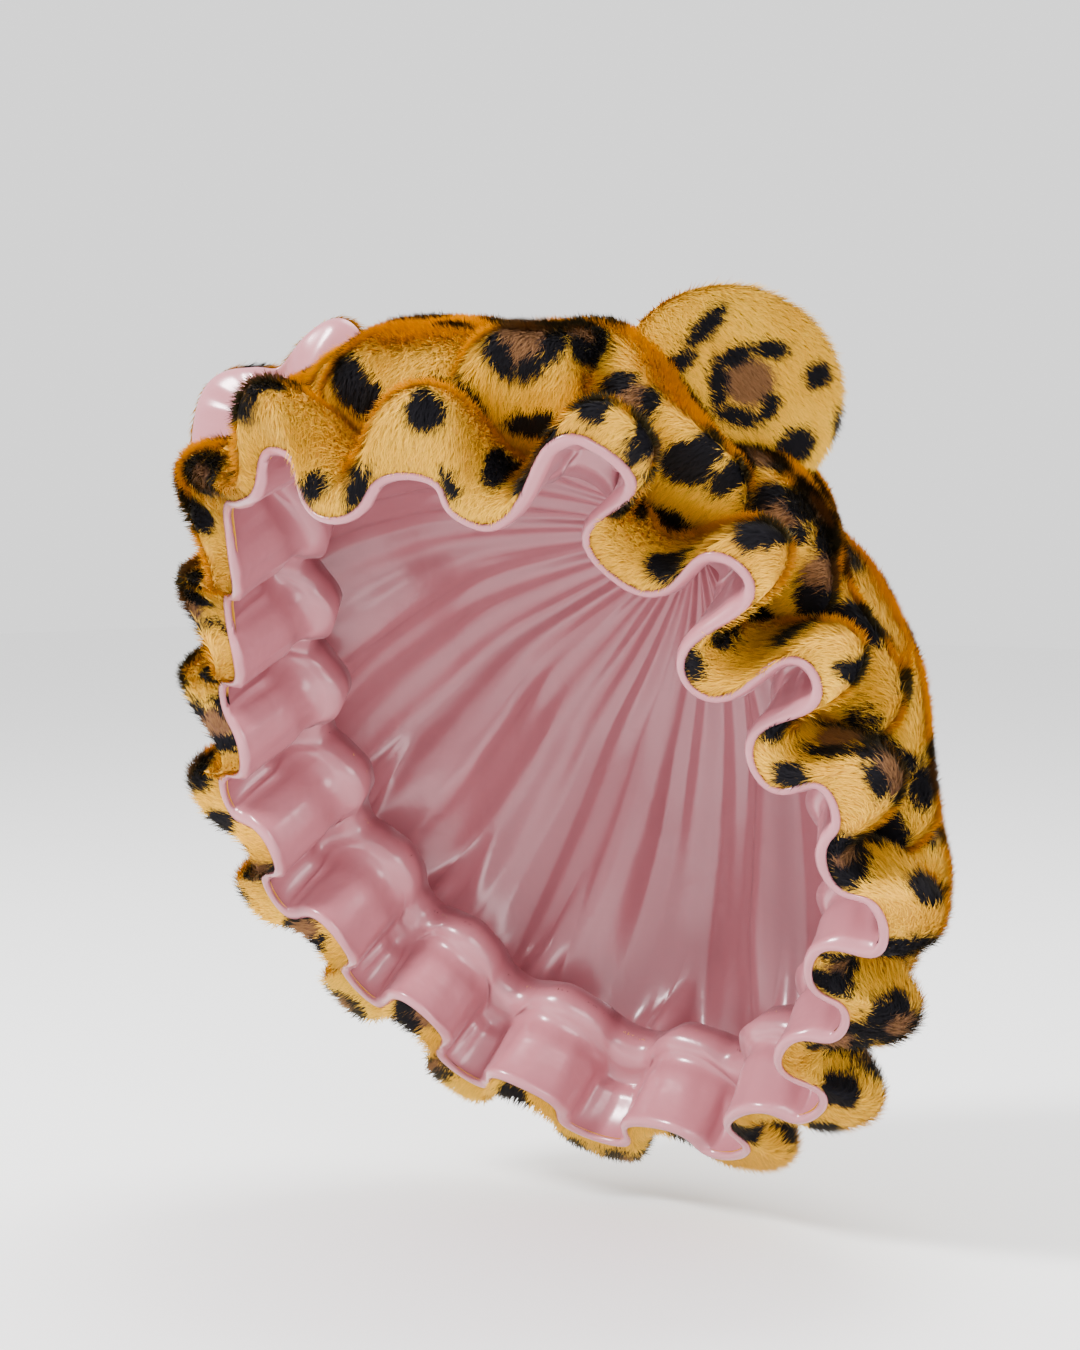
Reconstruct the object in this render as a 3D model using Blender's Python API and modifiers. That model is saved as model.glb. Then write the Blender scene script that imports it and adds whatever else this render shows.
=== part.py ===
"""A satin-lined plush bonnet with two round ears, in metres, +Z up, the face looking along -Y.

The origin is the top of the wearer's head, under the crown. The wearer's left is +X.
The plush outside and the satin inside are two separate walls of one gathered cap. They are worked
out together: an elastic line round the face, a ruffle in front of it and a puffed crown behind it.
"""

import math
from typing import NamedTuple

import bpy
import bmesh
from mathutils import Vector
from mathutils.bvhtree import BVHTree

MM = 0.001

# Cloth, in metres
PLUSH_WALL = 2.6 * MM
SATIN_WALL = 1.0 * MM
CLOTH_GAP = 0.6 * MM
RUFFLE_PAD = 9.0 * MM
CREST_PAD = 3.0 * MM
FORE_ROLL = 2.0 * MM
ROLL_ROUNDNESS = 0.62
SATIN_RIM = 2.0 * MM

# Where the elastic sits behind the ruffle's inner edge, and how proud the gathers stand there
ELASTIC_BACK = 22.0 * MM
ELASTIC_OUT = 1.5 * MM
GATHER_WAVE = 4.0 * MM
EDGE_CURL = 1.2
GATHER_CURL = 0.3
CURL_FULL_AT = 22.0 * MM
LEAST_CURL, MOST_CURL = 0.3, 1.1

# Mesh density
COLUMNS_PER_FOLD = 8
RUFFLE_BANDS = 4


class LoopPoint(NamedTuple):
    """One point of the face opening, on the wearer's left half: turn in degrees, place in mm."""

    turn: float
    x: float
    y: float
    z: float


FACE_LOOP = (
    LoopPoint(turn=0, x=0, y=-94, z=-52),
    LoopPoint(turn=22, x=38, y=-80, z=-54),
    LoopPoint(turn=46, x=67, y=-48, z=-74),
    LoopPoint(turn=70, x=86, y=-23, z=-108),
    LoopPoint(turn=95, x=94, y=-5, z=-150),
    LoopPoint(turn=122, x=84, y=17, z=-192),
    LoopPoint(turn=152, x=49, y=39, z=-228),
    LoopPoint(turn=180, x=0, y=56, z=-243),
)


class Fold(NamedTuple):
    """One ruffle fold: its outward crest, then the trough after it, and the crown puff at that trough.

    Turns are degrees round the face, out is away from the head and fore is towards the face, in mm.
    """

    crest: float
    crest_out: float
    crest_fore: float
    trough: float
    trough_out: float
    trough_fore: float
    puff: float


FOLDS = (
    Fold(crest=-9, crest_out=17, crest_fore=0, trough=2, trough_out=0, trough_fore=10, puff=11),
    Fold(crest=13, crest_out=10, crest_fore=3, trough=24, trough_out=0, trough_fore=8, puff=18),
    Fold(crest=33, crest_out=31, crest_fore=-2, trough=45, trough_out=1, trough_fore=5, puff=17),
    Fold(crest=54, crest_out=31, crest_fore=-2, trough=62, trough_out=1, trough_fore=14, puff=16),
    Fold(crest=70, crest_out=28, crest_fore=-2, trough=79, trough_out=1, trough_fore=9, puff=17),
    Fold(crest=88, crest_out=18, crest_fore=2, trough=97, trough_out=10, trough_fore=4, puff=15),
    Fold(crest=106, crest_out=26, crest_fore=4, trough=116, trough_out=3, trough_fore=8, puff=16),
    Fold(crest=125, crest_out=16, crest_fore=6, trough=135, trough_out=2, trough_fore=10, puff=11),
    Fold(crest=145, crest_out=22, crest_fore=6, trough=157, trough_out=6, trough_fore=10, puff=11),
    Fold(crest=168, crest_out=22, crest_fore=8, trough=179, trough_out=5, trough_fore=10, puff=15),
    Fold(crest=190, crest_out=23, crest_fore=8, trough=201, trough_out=6, trough_fore=10, puff=16),
    Fold(crest=212, crest_out=26, crest_fore=6, trough=222, trough_out=4, trough_fore=9, puff=15),
    Fold(crest=232, crest_out=30, crest_fore=8, trough=242, trough_out=6, trough_fore=12, puff=17),
    Fold(crest=252, crest_out=33, crest_fore=12, trough=261, trough_out=10, trough_fore=15, puff=15),
    Fold(crest=270, crest_out=36, crest_fore=12, trough=279, trough_out=12, trough_fore=15, puff=16),
    Fold(crest=287, crest_out=31, crest_fore=10, trough=296, trough_out=10, trough_fore=14, puff=14),
    Fold(crest=304, crest_out=27, crest_fore=8, trough=315, trough_out=8, trough_fore=13, puff=12),
    Fold(crest=329, crest_out=22, crest_fore=6, trough=343, trough_out=8, trough_fore=9, puff=7),
)


class Ear(NamedTuple):
    """One round ear: its middle in mm, which way its face looks and how far it tips back in degrees,
    how deep the crease across its satin is and how far it keeps from the crown in mm, and its outline.
    """

    name: str
    x: float
    y: float
    z: float
    face_turn: float
    tip_back: float
    plush_in_front: bool
    crease: float
    gap: float
    outline: tuple


# How far each ear reaches in mm, every 30 degrees clockwise from straight up as seen from the front
LEFT_OUTLINE = (31, 31, 32, 32, 31, 30, 29, 30, 33, 35, 34, 32)
RIGHT_OUTLINE = (19, 38, 35, 30, 30, 30, 30, 31, 33, 31, 29, 21)
EARS = (
    Ear("left", 73, -9, -23, 52, 4, plush_in_front=True, crease=0, gap=1.0, outline=LEFT_OUTLINE),
    Ear("right", -83, -30, -29, 18, 4, plush_in_front=False, crease=6, gap=2.5, outline=RIGHT_OUTLINE),
)
EAR_COLUMNS = 24
EAR_RINGS = (0.3, 0.58, 0.8, 0.93, 1.0)
EAR_PLUSH_PAD = 7.0 * MM
EAR_SATIN_PAD = 5.0 * MM
EAR_EDGE = 1.5 * MM
CREASE_WIDTH = 5.0 * MM
DOME_ROUNDNESS = 0.6
EAR_STAND = 10.0 * MM


class Section(NamedTuple):
    """One ring of the crown: how far behind the face plane, how far it is lifted and its half sizes in
    mm, how much of the puffs it shows, how much of the face loop's bend it keeps, and how coarse its
    columns are.
    """

    back: float
    lift: float
    half_height: float
    half_width: float
    puff: float
    keep: float
    coarse: int


CROWN = (
    Section(back=22, lift=0, half_height=122, half_width=92, puff=0.0, keep=1.0, coarse=1),
    Section(back=24, lift=0, half_height=130, half_width=99, puff=0.7, keep=0.95, coarse=1),
    Section(back=33, lift=1, half_height=133, half_width=104, puff=0.95, keep=0.7, coarse=1),
    Section(back=45, lift=3, half_height=130, half_width=102, puff=1.0, keep=0.45, coarse=2),
    Section(back=64, lift=6, half_height=119, half_width=95, puff=0.95, keep=0.2, coarse=2),
    Section(back=84, lift=8, half_height=103, half_width=85, puff=0.7, keep=0.05, coarse=2),
    Section(back=104, lift=8, half_height=82, half_width=73, puff=0.4, keep=0.0, coarse=2),
    Section(back=119, lift=6, half_height=56, half_width=51, puff=0.18, keep=0.0, coarse=4),
    Section(back=128, lift=5, half_height=28, half_width=26, puff=0.05, keep=0.0, coarse=4),
)
CROWN_POLE_BACK = 131.5 * MM
CROWN_POLE_LIFT = 5.0 * MM
PUFF_ROUNDNESS = 0.8
WIDE_PUFFS = 11
WIDE_PUFF_TURN = 0.35
WIDE_PUFF_SIZE = 1.05
WIDE_PUFF_ROUNDNESS = 1.1
MERGE_FROM, MERGE_TO = 2.2, 4.4


def loop_points():
    """The whole face loop as (turn, place), the right half mirrored from the left."""
    left = [(p.turn, Vector((p.x, p.y, p.z)) * MM) for p in FACE_LOOP]
    right = [(360 - turn, Vector((-v.x, v.y, v.z))) for turn, v in reversed(left[1:-1])]
    return left + right


LOOP = loop_points()
BROW = LOOP[0][1]
NAPE = LOOP[len(FACE_LOOP) - 1][1]
CENTRE = (BROW + NAPE) / 2
UP = (BROW - NAPE).normalized()
SIDE = Vector((1, 0, 0))
BACK = UP.cross(SIDE)


def hermite(low, high, low_slope, high_slope, share):
    """The cubic between two values with these slopes, at a share of the way."""
    s2, s3 = share**2, share**3
    return (
        low * (2 * s3 - 3 * s2 + 1)
        + low_slope * (s3 - 2 * s2 + share)
        + high * (3 * s2 - 2 * s3)
        + high_slope * (s3 - s2)
    )


def face_point(turn):
    """The face loop at a turn in degrees, as a smooth closed curve."""
    turn %= 360
    count = len(LOOP)
    index = max(i for i in range(count) if LOOP[i][0] <= turn)

    def knot(i):
        laps, place = divmod(i, count)
        return LOOP[place][0] + 360 * laps, LOOP[place][1]

    (t0, p0), (t1, p1), (t2, p2), (t3, p3) = (knot(index + i) for i in (-1, 0, 1, 2))
    span = t2 - t1
    slope1 = (p2 - p0) * (span / (t2 - t0))
    slope2 = (p3 - p1) * (span / (t3 - t1))
    return hermite(p1, p2, slope1, slope2, (turn - t1) / span)


def outward(turn):
    """The direction away from the head, square to the face loop."""
    along = face_point(turn + 1) - face_point(turn - 1)
    away = along.cross(BACK).normalized()
    return away if away.dot(face_point(turn) - CENTRE) > 0 else -away


def fold_extremes():
    """Crest, trough, crest, ... as (turn, out, fore) in order round the face."""
    found = []
    for fold in FOLDS:
        found.append((fold.crest, fold.crest_out * MM, fold.crest_fore * MM))
        found.append((fold.trough, fold.trough_out * MM, fold.trough_fore * MM))
    return found


EXTREMES = fold_extremes()


def fold_at(phase, curl):
    """Turn, out and fore of the edge at a phase, which is whole at each crest and half at each trough."""
    step = int(math.floor(phase * 2))
    share = phase * 2 - step
    laps, low = divmod(step, len(EXTREMES))
    laps_high, high = divmod(step + 1, len(EXTREMES))
    turn0, out0, fore0 = EXTREMES[low]
    turn1, out1, fore1 = EXTREMES[high]
    turn0 += 360 * laps
    turn1 += 360 * laps_high
    curl *= min(max(abs(out1 - out0) / CURL_FULL_AT, LEAST_CURL), MOST_CURL)
    curled = share + curl * math.sin(2 * math.pi * share) / (2 * math.pi)
    eased = (1 - math.cos(math.pi * share)) / 2
    return (
        turn0 + (turn1 - turn0) * curled,
        out0 + (out1 - out0) * eased,
        fore0 + (fore1 - fore0) * eased,
    )


def edge_point(phase):
    """The ruffle's free edge."""
    turn, out, fore = fold_at(phase, EDGE_CURL)
    return face_point(turn) + outward(turn) * out - BACK * fore


def gather_point(phase):
    """The outside of the cloth over the elastic."""
    turn = fold_at(phase, GATHER_CURL)[0]
    wave = GATHER_WAVE * math.cos(2 * math.pi * phase)
    return face_point(turn) + outward(turn) * (ELASTIC_OUT + wave) + BACK * ELASTIC_BACK


THIRD_OF_THE_WAY_PEAK = 4 / 27


def ruffle_point(phase, share):
    """The outside of the ruffle, 0 at its free edge and 1 at the elastic, rounded like a roll of plush."""
    straight = edge_point(phase).lerp(gather_point(phase), share)
    if not 0 < share < 1:
        return straight
    crest = (1 + math.cos(2 * math.pi * phase)) / 2
    roll = (RUFFLE_PAD + CREST_PAD * crest) * math.sin(math.pi * share) ** ROLL_ROUNDNESS
    forward = FORE_ROLL * (1 - crest) * share * (1 - share) ** 2 / THIRD_OF_THE_WAY_PEAK
    return straight + outward(fold_at(phase, 0)[0]) * roll - BACK * forward


def spline(values, place):
    """A smooth curve through evenly numbered values, at a place between the first and the last."""
    index = min(int(place), len(values) - 2)

    def value(i):
        return values[min(max(i, 0), len(values) - 1)]

    low_slope = (value(index + 1) - value(index - 1)) / 2
    high_slope = (value(index + 2) - value(index)) / 2
    return hermite(value(index), value(index + 1), low_slope, high_slope, place - index)


def ring_point(turn, height, width):
    """A rounded ring in the face plane, a little square-shouldered at the brow like the head."""
    turn = math.radians(turn)
    rise, side = math.cos(turn), math.sin(turn)
    square = 2 + 0.15 * max(rise, 0)
    reach = (abs(rise) ** square + abs(side) ** square) ** (-1 / square)
    return CENTRE + UP * (height * rise * reach) + SIDE * (width * side * reach)


def puff_at(phase, place):
    """The height of the crown's puffs: narrow ones at the elastic that merge into fewer, wider ones."""
    count = len(FOLDS)
    index = math.floor(phase)
    near = FOLDS[index % count].puff * abs(math.sin(math.pi * phase)) ** PUFF_ROUNDNESS
    low = math.floor(phase - 0.5)
    share = phase - 0.5 - low
    swell = FOLDS[low % count].puff * (1 - share) + FOLDS[(low + 1) % count].puff * share
    wave = abs(math.sin(math.pi * (phase * WIDE_PUFFS / count + WIDE_PUFF_TURN)))
    wide = WIDE_PUFF_SIZE * swell * wave**WIDE_PUFF_ROUNDNESS
    merged = min(max((place - MERGE_FROM) / (MERGE_TO - MERGE_FROM), 0), 1)
    merged = merged * merged * (3 - 2 * merged)
    return (near * (1 - merged) + wide * merged) * MM


def crown_point(phase, place):
    """The outside of the crown, place 0 at the elastic and then one for each section."""
    back, lift, height, width, puff, keep = (
        spline([getattr(section, name) for section in CROWN], place)
        for name in ("back", "lift", "half_height", "half_width", "puff", "keep")
    )
    keep = min(max(keep, 0), 1)
    turn = fold_at(phase, GATHER_CURL * keep)[0]
    first = CROWN[0]
    bend = gather_point(phase) - ring_point(turn, first.half_height * MM, first.half_width * MM)
    bend -= BACK * (first.back * MM)
    swell = max(puff, 0) * puff_at(phase, place)
    ring = ring_point(turn, height * MM + swell, width * MM + swell)
    return ring + BACK * (back * MM) + UP * (lift * MM) + bend * keep


def sheet_rows():
    """The rows of the outside sheet from the free edge to the crown, as (points, coarseness)."""
    columns = COLUMNS_PER_FOLD * len(FOLDS)
    rows = []
    for band in range(RUFFLE_BANDS):
        share = band / RUFFLE_BANDS
        rows.append(([ruffle_point(c / COLUMNS_PER_FOLD, share) for c in range(columns)], 1))
    for place, section in enumerate(CROWN):
        phases = [c / COLUMNS_PER_FOLD for c in range(0, columns, section.coarse)]
        rows.append(([crown_point(phase, place) for phase in phases], section.coarse))
    return rows


def join_rows(mesh, near, far):
    """Faces between two closed rows, where the far one has as many points or half as many."""
    count = len(far)
    ratio = len(near) // count
    for i in range(count):
        after = (i + 1) % count
        first, last = near[i * ratio], near[(i + 1) * ratio % len(near)]
        if ratio == 1:
            mesh.faces.new((first, far[after], far[i]))
            mesh.faces.new((first, last, far[after]))
        else:
            middle = near[i * ratio + 1]
            mesh.faces.new((first, middle, far[i]))
            mesh.faces.new((middle, far[after], far[i]))
            mesh.faces.new((middle, last, far[after]))


def sheet_object(name, rows, pole, collection):
    """An open sheet lofted through closed rows and closed at the crown's pole."""
    mesh = bmesh.new()
    made = [[mesh.verts.new(point) for point in points] for points, _ in rows]
    for near, far in zip(made, made[1:]):
        join_rows(mesh, near, far)
    tip = mesh.verts.new(pole)
    last = made[-1]
    for i, vert in enumerate(last):
        mesh.faces.new((vert, last[(i + 1) % len(last)], tip))
    data = bpy.data.meshes.new(name)
    mesh.to_mesh(data)
    mesh.free()
    data.shade_smooth()
    made_object = bpy.data.objects.new(name, data)
    collection.objects.link(made_object)
    return made_object


def thicken(sheet, wall):
    """Gives an open sheet its wall, inwards from the side that its faces point to."""
    solidify = sheet.modifiers.new("wall", "SOLIDIFY")
    solidify.thickness = wall
    solidify.offset = -1
    solidify.use_even_offset = False


def ear_axes(ear):
    """The ear's middle, its sideways, upward and face directions."""
    turn, tip = math.radians(ear.face_turn), math.radians(ear.tip_back)
    sideways = Vector((math.cos(turn), math.sin(turn), 0))
    level = Vector((math.sin(turn), -math.cos(turn), 0))
    face = level * math.cos(tip) + Vector((0, 0, math.sin(tip)))
    return Vector((ear.x, ear.y, ear.z)) * MM, sideways, face.cross(sideways), face


def ear_reach(ear, crown):
    """For each column round the ear's hub: how far it goes, to its round edge or short of the crown."""
    middle, sideways, upward, face = ear_axes(ear)
    count = len(ear.outline)
    reaches = []
    for column in range(EAR_COLUMNS):
        turn = 2 * math.pi * column / EAR_COLUMNS
        radius = spline(ear.outline * 3, count * (1 + column / EAR_COLUMNS)) * MM
        spot = sideways * (radius * math.sin(turn)) + upward * (radius * math.cos(turn) - EAR_STAND)
        way, reach = spot.normalized(), spot.length
        for offset in (-EAR_SATIN_PAD, 0, EAR_PLUSH_PAD):
            start = middle + upward * EAR_STAND + face * offset * (1 if ear.plush_in_front else -1)
            hit = crown.ray_cast(start, way, reach + ear.gap * MM)
            if hit[0] is not None:
                reach = hit[3] - ear.gap * MM
        reaches.append((way, reach))
    return reaches


def ear_half(name, ear, reaches, pad, front, collection):
    """One padded half of an ear: flat against the other half, domed outside, with a blunt edge."""
    middle, sideways, upward, face = ear_axes(ear)
    outside = face if front else -face
    hub = middle + upward * EAR_STAND + outside * (CLOTH_GAP / 2)
    mesh = bmesh.new()

    def ring(share, height):
        made = []
        for way, reach in reaches:
            spot = way * (reach * share)
            dent = ear.crease * MM * math.exp(-((spot.dot(sideways) / CREASE_WIDTH) ** 2)) * (1 - share)
            made.append(mesh.verts.new(hub + spot + outside * max(height - dent, EAR_EDGE / 2)))
        return made

    low_tip = mesh.verts.new(hub)
    high_tip = mesh.verts.new(hub + outside * (pad - (0 if pad == EAR_PLUSH_PAD else ear.crease * MM / 2)))
    rings = [ring(share, EAR_EDGE + (pad - EAR_EDGE) * (1 - share**2) ** DOME_ROUNDNESS) for share in EAR_RINGS]
    flat = [mesh.verts.new(hub + way * reach) for way, reach in reaches]
    rings.append(flat)
    for i in range(EAR_COLUMNS):
        after = (i + 1) % EAR_COLUMNS
        mesh.faces.new((high_tip, rings[0][i], rings[0][after]))
        mesh.faces.new((low_tip, flat[after], flat[i]))
        for near, far in zip(rings, rings[1:]):
            mesh.faces.new((near[i], far[i], far[after]))
            mesh.faces.new((near[i], far[after], near[after]))
    bmesh.ops.recalc_face_normals(mesh, faces=mesh.faces)
    data = bpy.data.meshes.new(name)
    mesh.to_mesh(data)
    mesh.free()
    data.shade_smooth()
    made_object = bpy.data.objects.new(name, data)
    collection.objects.link(made_object)
    return made_object


def plain_material(name, colour, roughness):
    """A plain Principled finish."""
    made = bpy.data.materials.new(name)
    made.use_nodes = True
    shader = made.node_tree.nodes["Principled BSDF"]
    shader.inputs["Base Color"].default_value = (*colour, 1)
    shader.inputs["Roughness"].default_value = roughness
    shader.inputs["Metallic"].default_value = 0
    made.diffuse_color = (*colour, 1)
    return made


def clear_scene():
    for old in list(bpy.data.objects):
        bpy.data.objects.remove(old)


def build():
    clear_scene()
    collection = bpy.data.collections.new("bonnet")
    bpy.context.scene.collection.children.link(collection)
    plush = plain_material("leopard_plush", (0.72, 0.42, 0.10), 0.9)
    satin = plain_material("pink_satin", (0.72, 0.42, 0.48), 0.3)

    rows = sheet_rows()
    pole = CENTRE + BACK * CROWN_POLE_BACK + UP * CROWN_POLE_LIFT
    outside = sheet_object("plush_shell", rows, pole, collection)
    outside.data.materials.append(plush)
    thicken(outside, PLUSH_WALL)

    inset = PLUSH_WALL + CLOTH_GAP
    normals = [vert.normal.copy() for vert in outside.data.vertices]
    places = [vert.co.copy() for vert in outside.data.vertices]
    lining_rows = []
    start = 0
    columns = len(rows[0][0])
    for points, coarse in rows:
        inner = [places[i] - normals[i] * inset for i in range(start, start + len(points))]
        if start == 0:
            inner = [
                place + (places[i] - places[i + columns]).normalized() * SATIN_RIM
                for i, place in enumerate(inner)
            ]
        lining_rows.append((inner, coarse))
        start += len(points)
    lining = sheet_object("satin_lining", lining_rows, pole - normals[-1] * inset, collection)
    lining.data.materials.append(satin)
    thicken(lining, SATIN_WALL)

    crown = BVHTree.FromPolygons(places, [tuple(face.vertices) for face in outside.data.polygons])
    for ear in EARS:
        reaches = ear_reach(ear, crown)
        plush_front = ear.plush_in_front
        fur = ear_half(f"ear_{ear.name}_plush", ear, reaches, EAR_PLUSH_PAD, plush_front, collection)
        fur.data.materials.append(plush)
        back = ear_half(f"ear_{ear.name}_satin", ear, reaches, EAR_SATIN_PAD, not plush_front, collection)
        back.data.materials.append(satin)


build()
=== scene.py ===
"""Looks for a satin-lined leopard plush bonnet with two round ears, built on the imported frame.

Lengths are in metres, +Z is up and the face looks along -Y. The cloth is worked out as one gathered
cap: a ruffle in front of the elastic and a puffed crown behind it. The print is a chart of spots, each
laid on the worn cloth by its fold and its depth behind the ruffle's edge, with scattered ones between.
"""

import math
from typing import NamedTuple

import bpy
import numpy as np
from mathutils import Matrix, Vector


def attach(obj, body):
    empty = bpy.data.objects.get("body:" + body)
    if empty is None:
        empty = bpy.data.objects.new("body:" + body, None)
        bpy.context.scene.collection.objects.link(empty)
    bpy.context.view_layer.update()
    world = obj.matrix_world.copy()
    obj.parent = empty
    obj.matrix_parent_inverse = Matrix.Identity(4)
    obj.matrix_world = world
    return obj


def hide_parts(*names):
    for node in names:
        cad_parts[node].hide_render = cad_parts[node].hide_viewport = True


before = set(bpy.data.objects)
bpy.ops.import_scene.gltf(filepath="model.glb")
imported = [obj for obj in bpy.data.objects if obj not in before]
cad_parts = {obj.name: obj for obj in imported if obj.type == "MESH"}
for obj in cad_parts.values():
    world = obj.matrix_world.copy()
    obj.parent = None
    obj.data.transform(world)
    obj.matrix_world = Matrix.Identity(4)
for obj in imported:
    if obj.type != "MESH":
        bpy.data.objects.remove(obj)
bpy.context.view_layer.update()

MM = 0.001

# Cloth
PLUSH_BACKING = 2.4 * MM
RUFFLE_PAD = 10.0 * MM
CREST_PAD = 11.0 * MM
ROLL_ROUNDNESS = 0.62
FORE_ROLL = 4.5 * MM
# 27 / 4 brings the highest point of share * (1 - share) squared to one
FORE_ROLL_PEAK = 6.75
FAR_ROLL_OUT = 2.0 * MM
FAR_ROLL_FORE = 9.0 * MM
FAR_SIDE_SPREAD = 0.6
RUFFLE_PLEAT = 1.1 * MM
RUFFLE_PLEAT_START = 0.45
RUFFLE_PLEAT_GAIN = 2.2
ELASTIC_BACK = 22.0 * MM
ELASTIC_OUT = 1.5 * MM
GATHER_WAVE = 5.5 * MM
EDGE_CURL = 1.25
GATHER_CURL = 0.3
CURL_FULL_AT = 22.0 * MM
LEAST_CURL, MOST_CURL = 0.3, 1.1
HEM_BACK = 0.5 * MM
FLAT_RADIUS = 0.240

# The satin's distances behind the plush and the depths over which they change, in mm
SATIN_GAP = 0.5
SATIN_EASE = 0.9
WRINKLE_DEPTH, WRINKLE_SPREAD, WRINKLE_HEIGHT = 30, 26, 0.9
SWAY_DEPTH, SWAY_HEIGHT = 90, 1.2
ELASTIC_DRAW, ELASTIC_SPREAD = 2.4, 8
MOST_WRINKLE = 3
RELAX_SPREAD = 9
RELAX_PASSES = 8
# The share of the plush's roll that the satin follows in the ruffle, and where it joins the rest
RUFFLE_SLACK = 0.3
RUFFLE_BLEND_START = 0.55
# Rows of the satin rim in mm: how far behind the plush's face, and how far past its edge
RIM = ((0.8, -0.6), (0.0, 0.3), (-0.1, 0.9), (0.3, 1.4), (1.1, 1.5), (2.0, 1.1), (2.7, 0.2))

# Pile, with its lean in degrees and the fray of the print's edges in mm
CAP_PILE_LENGTH = 4.4 * MM
EAR_PILE_LENGTH = 4.2 * MM
CAP_BLADES = 175000
EAR_BLADES = 26000
BLADE_HALF_WIDTH = 0.22 * MM
BLADE_LEAN, LEAN_SPREAD = 58, 9
NAP_STRAY = 0.28
PRINT_FRAY = 0.5

# Floor
FLOOR_SIZE = 8.0
FLOOR_HEIGHT = -0.285

# Mesh density
COLUMNS_PER_FOLD = 36
RUFFLE_ROWS = 18
CROWN_ROWS = 84


class LoopPoint(NamedTuple):
    """One point of the face opening, on the wearer's left half: turn in degrees, place in mm."""

    turn: float
    x: float
    y: float
    z: float


FACE_LOOP = (
    LoopPoint(turn=0, x=0, y=-94, z=-52),
    LoopPoint(turn=22, x=38, y=-80, z=-54),
    LoopPoint(turn=46, x=67, y=-48, z=-74),
    LoopPoint(turn=70, x=86, y=-23, z=-108),
    LoopPoint(turn=95, x=94, y=-5, z=-150),
    LoopPoint(turn=122, x=84, y=17, z=-192),
    LoopPoint(turn=152, x=49, y=39, z=-228),
    LoopPoint(turn=180, x=0, y=56, z=-243),
)


class Fold(NamedTuple):
    """One ruffle fold: its outward crest, then the trough after it, and the crown puff at that trough.

    Turns are degrees round the face. Out is away from the cap's middle and fore is out of the face
    opening, both in mm.
    """

    crest: float
    crest_out: float
    crest_fore: float
    trough: float
    trough_out: float
    trough_fore: float
    puff: float


FOLDS = (
    Fold(crest=-9, crest_out=17, crest_fore=0, trough=2, trough_out=0, trough_fore=10, puff=11),
    Fold(crest=13, crest_out=10, crest_fore=3, trough=24, trough_out=0, trough_fore=8, puff=20),
    Fold(crest=30, crest_out=35, crest_fore=-5, trough=45, trough_out=1, trough_fore=5, puff=17),
    Fold(crest=54, crest_out=31, crest_fore=-2, trough=62, trough_out=1, trough_fore=14, puff=16),
    Fold(crest=70, crest_out=28, crest_fore=-2, trough=79, trough_out=1, trough_fore=9, puff=17),
    Fold(crest=88, crest_out=18, crest_fore=2, trough=97, trough_out=10, trough_fore=4, puff=15),
    Fold(crest=106, crest_out=26, crest_fore=4, trough=116, trough_out=3, trough_fore=8, puff=16),
    Fold(crest=125, crest_out=16, crest_fore=6, trough=135, trough_out=2, trough_fore=10, puff=11),
    Fold(crest=145, crest_out=22, crest_fore=6, trough=157, trough_out=6, trough_fore=10, puff=11),
    Fold(crest=168, crest_out=22, crest_fore=8, trough=179, trough_out=5, trough_fore=10, puff=15),
    Fold(crest=190, crest_out=23, crest_fore=8, trough=201, trough_out=6, trough_fore=10, puff=16),
    Fold(crest=212, crest_out=26, crest_fore=6, trough=222, trough_out=4, trough_fore=9, puff=15),
    Fold(crest=232, crest_out=24, crest_fore=8, trough=242, trough_out=6, trough_fore=12, puff=17),
    Fold(crest=252, crest_out=25, crest_fore=12, trough=261, trough_out=10, trough_fore=15, puff=15),
    Fold(crest=270, crest_out=26, crest_fore=12, trough=279, trough_out=12, trough_fore=15, puff=16),
    Fold(crest=287, crest_out=21, crest_fore=10, trough=296, trough_out=10, trough_fore=14, puff=14),
    Fold(crest=304, crest_out=16, crest_fore=8, trough=315, trough_out=8, trough_fore=13, puff=12),
    Fold(crest=329, crest_out=13, crest_fore=6, trough=343, trough_out=8, trough_fore=9, puff=7),
)
FOLD_COUNT = len(FOLDS)


class Section(NamedTuple):
    """One ring of the crown: how far behind the face plane, how far it is lifted and its half sizes in
    mm, how much of the puffs it shows, how much of the face loop's bend it keeps, and its distance
    along the flat cloth from the ruffle's edge in mm.
    """

    back: float
    lift: float
    half_height: float
    half_width: float
    puff: float
    keep: float
    cloth: float


CROWN = (
    Section(back=22, lift=0, half_height=122, half_width=92, puff=0.0, keep=1.0, cloth=36),
    Section(back=24, lift=0, half_height=130, half_width=99, puff=0.7, keep=0.95, cloth=46),
    Section(back=33, lift=1, half_height=133, half_width=104, puff=1.05, keep=0.7, cloth=60),
    Section(back=45, lift=3, half_height=130, half_width=102, puff=1.1, keep=0.45, cloth=74),
    Section(back=64, lift=6, half_height=119, half_width=95, puff=0.95, keep=0.2, cloth=98),
    Section(back=84, lift=8, half_height=103, half_width=85, puff=0.7, keep=0.05, cloth=124),
    Section(back=104, lift=8, half_height=82, half_width=73, puff=0.4, keep=0.0, cloth=154),
    Section(back=119, lift=6, half_height=56, half_width=51, puff=0.18, keep=0.0, cloth=187),
    Section(back=128, lift=5, half_height=28, half_width=26, puff=0.05, keep=0.0, cloth=217),
    Section(back=131.5, lift=5, half_height=1, half_width=1, puff=0.0, keep=0.0, cloth=239),
)
PUFF_ROUNDNESS = 0.62
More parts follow.
